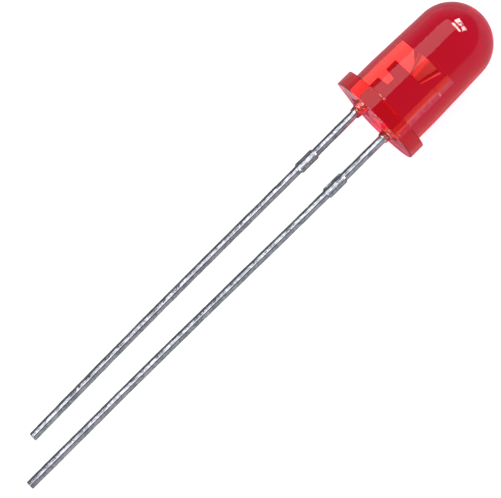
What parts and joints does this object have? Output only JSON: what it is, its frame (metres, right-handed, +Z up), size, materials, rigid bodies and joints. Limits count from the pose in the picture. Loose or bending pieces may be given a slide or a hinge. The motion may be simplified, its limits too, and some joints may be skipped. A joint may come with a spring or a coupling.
{
  "type": "through hole led",
  "caption": "Round through-hole indicator LED: a tinted clear domed epoxy case with a flange and a polarity flat, on long square tinned leads.",
  "frame": {"origin": "bottom centre of the whole LED's box, on the surface that it lies on", "axes": "+X towards the dome, along the LED's length; +Y towards the cathode and the flange's flat; +Z up from the surface that it lies on"},
  "size_m": [0.0368, 0.0056, 0.0059],
  "materials": {
    "red_epoxy": "gloss",
    "tinned_steel": "satin",
    "silver_glue": "matte",
    "semiconductor": "gloss",
    "gold_wire": "polished"
  },
  "bodies": {
    "root": {"epoxy_case": "red_epoxy", "cathode_lead": "tinned_steel", "anode_lead": "tinned_steel", "die_glue": "silver_glue", "led_die": "semiconductor", "bond_wire": "gold_wire"}
  },
  "joints": []
}
